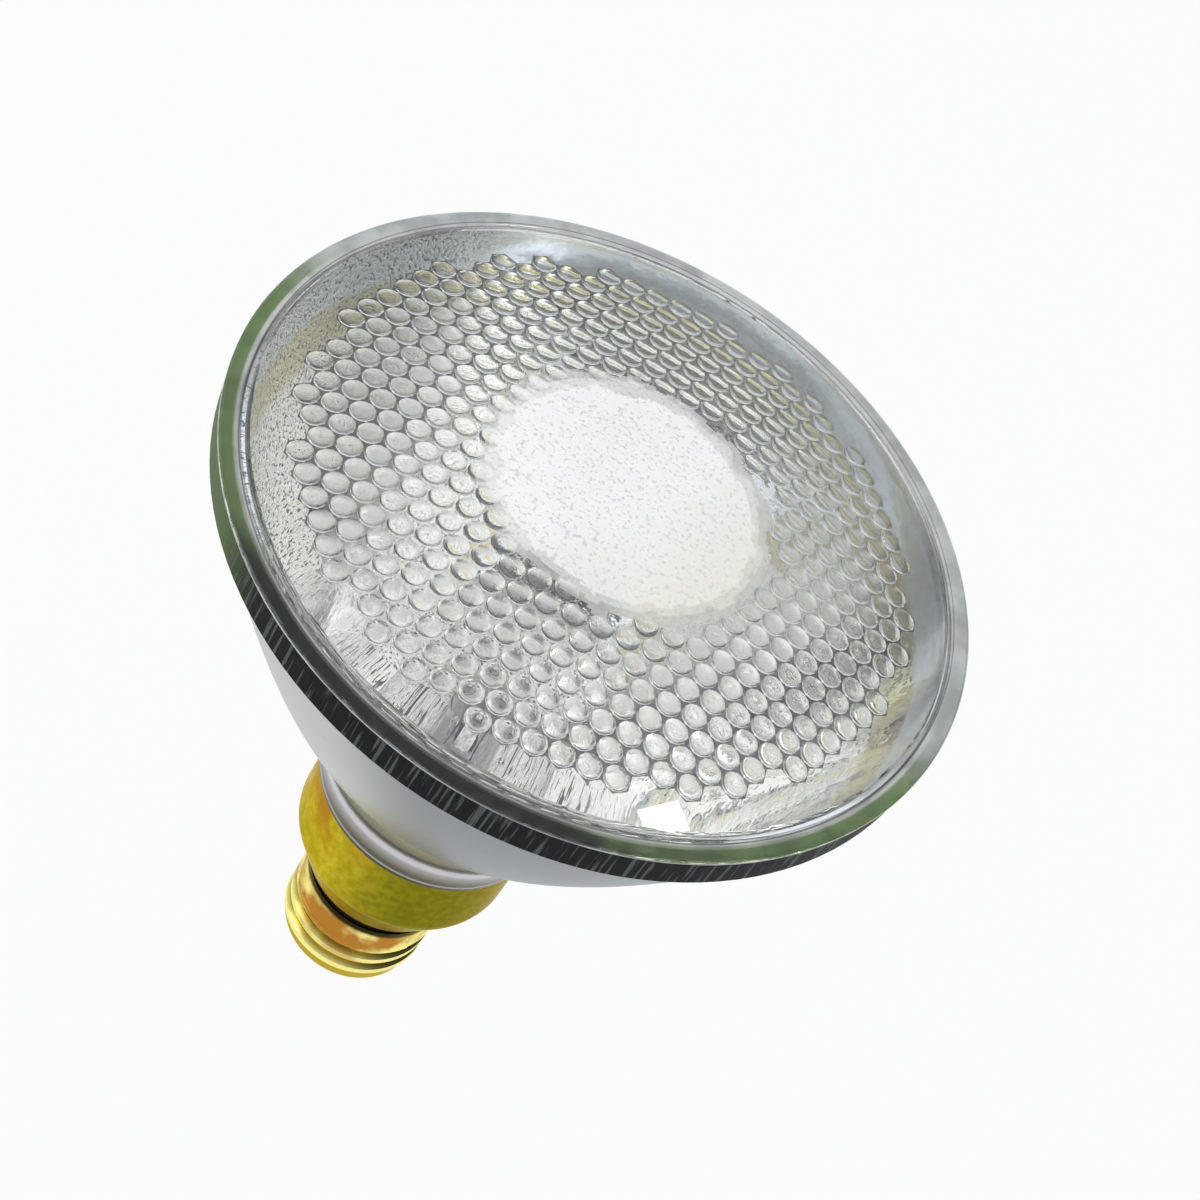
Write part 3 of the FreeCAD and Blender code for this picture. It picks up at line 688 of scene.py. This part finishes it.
# Cement: a paste run into the gap between the glass heel and the skirt, and fired to a hard matt ring. It holds the
# base on the glass.
cement, tree, shader = new_finish("cement", (0.45, 0.40, 0.32), roughness=0.85)
crumb = place_group(tree, cloudy, Scale=1200.0)["Patches"]
paint(tree, shader, crumb, (0.30, 0.26, 0.20), (0.60, 0.55, 0.45))
dress(["base_cement"], cement)


# Studio: a pale floor well under the lamp, and a bright sky with grey screens low all round, nearly black on one side,
# and three small dark spots high up. Only the metal and the glass see the screens and the spots. One soft box gives
# the square highlight on the rim, the other lights the left side.
def lean_towards(tree, place, direction):
    """The cosine of the angle between a direction of the sky and this one."""
    node = add_node(tree, "ShaderNodeVectorMath", operation="DOT_PRODUCT")
    tree.links.new(place.outputs["Generated"], node.inputs[0])
    node.inputs[1].default_value = Vector(direction).normalized()
    return node.outputs["Value"]


def spot_in_the_sky(tree, place, direction, inner, outer):
    """1 inside a soft round patch round a direction, out to these angles in degrees."""
    return ramp_between(tree, lean_towards(tree, place, direction), math.cos(math.radians(outer)),
                        math.cos(math.radians(inner)))


def height_band(tree, height, low, low_full, high_full, high):
    """1 between two heights of the sky in degrees, fading to 0 at the outer two."""
    low, low_full, high_full, high = (math.sin(math.radians(angle)) for angle in (low, low_full, high_full, high))
    return product(tree, ramp_between(tree, height, low, low_full), ramp_between(tree, height, high, high_full))


def soft_box(name, place, aim_at, side, radiance):
    """A square soft box that faces a point, as bright as this many times white."""
    lamp = bpy.data.lights.new(name, "AREA")
    lamp.shape = "RECTANGLE"
    lamp.size = side
    lamp.size_y = side
    lamp.energy = radiance * math.pi * side * side
    box = bpy.data.objects.new(name, lamp)
    box.location = place
    box.rotation_euler = (Vector(place) - Vector(aim_at)).to_track_quat("Z", "Y").to_euler()
    bpy.context.scene.collection.objects.link(box)


floor_drop = -0.18
floor_size = 6.0
floor_glow = 0.86
select_nothing()
bpy.ops.mesh.primitive_plane_add(size=floor_size, location=(0, 0, floor_drop))
floor = bpy.context.object
floor.name = "studio_floor"
bpy.ops.object.transform_apply(location=True, rotation=False, scale=False)
pale, tree, shader = new_finish("pale_floor", (0.86, 0.86, 0.87), roughness=0.8)
path = tree.nodes.new("ShaderNodeLightPath")
glow = tree.nodes.new("ShaderNodeEmission")
mixed = tree.nodes.new("ShaderNodeMixShader")
seen = math_node(tree, "MAXIMUM", path.outputs["Is Camera Ray"], path.outputs["Is Glossy Ray"])
seen = math_node(tree, "MAXIMUM", seen, path.outputs["Is Transmission Ray"])
tree.links.new(product(tree, seen, floor_glow), mixed.inputs[0])
tree.links.new(shader.outputs[0], mixed.inputs[1])
tree.links.new(glow.outputs[0], mixed.inputs[2])
tree.links.new(mixed.outputs[0], tree.nodes["Material Output"].inputs["Surface"])
floor.data.materials.append(pale)

open_white = (1.0, 1.0, 1.0)
sky_level = (0.90, 0.91, 0.92)
screened_side = (0.80, -0.60, 0.0)
pale_screen = (0.72, 0.75, 0.77)
dark_screen = (0.02, 0.025, 0.035)
spot_color = (0.015, 0.02, 0.035)
dark_spots = (((0.53, -0.09, 0.84), 4, 7),
              ((0.26, -0.31, 0.92), 5, 8),
              ((-0.25, 0.45, 0.86), 3, 6))
world = bpy.data.worlds.new("studio")
bpy.context.scene.world = world
world.use_nodes = True
tree = world.node_tree
sky = tree.nodes["Background"]
place = tree.nodes.new("ShaderNodeTexCoord")
split = tree.nodes.new("ShaderNodeSeparateXYZ")
tree.links.new(place.outputs["Generated"], split.inputs[0])
screens = height_band(tree, split.outputs["Z"], low=-5, low_full=1, high_full=32, high=41)
darker = ramp_between(tree, lean_towards(tree, place, screened_side), -0.30, 0.30)
flagged = blend_colors(tree, screens, open_white, blend_colors(tree, darker, pale_screen, dark_screen))
for direction, inner, outer in dark_spots:
    flagged = blend_colors(tree, spot_in_the_sky(tree, place, direction, inner, outer), flagged, spot_color)
path = tree.nodes.new("ShaderNodeLightPath")
shown = math_node(tree, "MAXIMUM", path.outputs["Is Glossy Ray"], path.outputs["Is Transmission Ray"])
around = blend_colors(tree, shown, sky_level, flagged)
tree.links.new(blend_colors(tree, path.outputs["Is Camera Ray"], around, open_white), sky.inputs["Color"])
sky.inputs["Strength"].default_value = 1.0

rim_point = Vector((0.0309, -0.0466, 0.1285))
key_direction = Vector((0.254, 0.369, 0.894))
key_distance = 1.5
soft_box("top_box", rim_point + key_direction * key_distance, rim_point, side=0.10, radiance=14.0)
soft_box("left_box", (-1.2, -0.5, 0.9), (0, 0, 0.08), side=0.6, radiance=1.6)


# Camera: a long lens at the photograph's viewing angle, 46 degrees above the rim and rolled about its own axis. The
# light's bounces are limited to what the glass needs.
camera_data = bpy.data.cameras.new("camera")
camera = bpy.data.objects.new("camera", camera_data)
bpy.context.scene.collection.objects.link(camera)
camera_data.sensor_width = 36.0
camera_data.lens = 81.63
camera_data.clip_start = 0.01
camera.location = (0.00592, -0.29137, 0.41256)
camera.rotation_mode = "ZYX"
camera.rotation_euler = (math.radians(44.025), 0, math.radians(33.57))
bpy.context.scene.camera = camera
light_bounces = 12
bpy.context.scene.cycles.max_bounces = light_bounces
bpy.context.scene.cycles.glossy_bounces = light_bounces
bpy.context.scene.cycles.transmission_bounces = light_bounces
bpy.context.scene.cycles.diffuse_bounces = 3
bpy.context.scene.view_settings.view_transform = "Standard"
